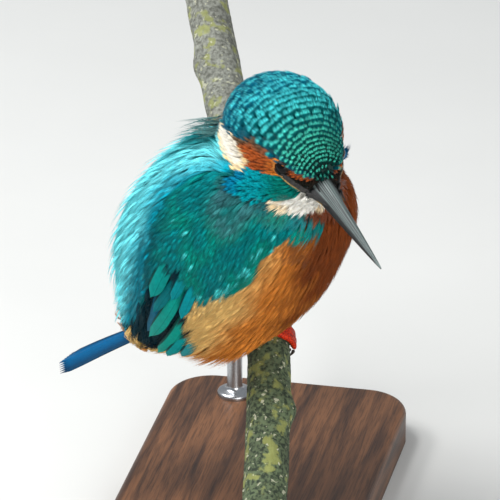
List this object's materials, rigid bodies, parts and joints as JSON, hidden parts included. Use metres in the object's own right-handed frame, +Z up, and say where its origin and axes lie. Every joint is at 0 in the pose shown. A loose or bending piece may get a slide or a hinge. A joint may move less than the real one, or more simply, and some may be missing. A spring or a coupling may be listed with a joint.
{
  "type": "common kingfisher on a perch",
  "caption": "Life-size still model of a hunched, fluffed common kingfisher gripping a short branch that a plain display stand holds.",
  "frame": {"origin": "middle of the stand base's flat underside", "axes": "+X the way the bird's body faces, +Y the bird's left side, +Z up"},
  "size_m": [0.1072, 0.1679, 0.1509],
  "materials": {
    "plumage_blue": "satin",
    "plumage_orange": "matte",
    "plumage_white": "matte",
    "flight_feathers": "satin",
    "bill_horn": "satin",
    "claw_horn": "satin",
    "eye_dark": "polished",
    "leg_skin": "satin",
    "bark": "matte",
    "stand_wood": "satin",
    "stand_steel": "satin"
  },
  "bodies": {
    "root": {"head": "plumage_blue", "neck": "plumage_blue", "trunk": "plumage_orange", "tail": "flight_feathers", "wing_left": "flight_feathers", "wing_right": "flight_feathers", "bill_upper": "bill_horn", "bill_lower": "bill_horn", "eye_left": "eye_dark", "eye_right": "eye_dark", "leg_left": "leg_skin", "leg_right": "leg_skin", "perch": "bark", "stand_base": "stand_wood", "stand_rod_front": "stand_steel", "stand_rod_back": "stand_steel", "claw_left_1": "claw_horn", "claw_left_2": "claw_horn", "claw_left_3": "claw_horn", "claw_left_4": "claw_horn", "claw_right_1": "claw_horn", "claw_right_2": "claw_horn", "claw_right_3": "claw_horn", "claw_right_4": "claw_horn"}
  },
  "joints": []
}
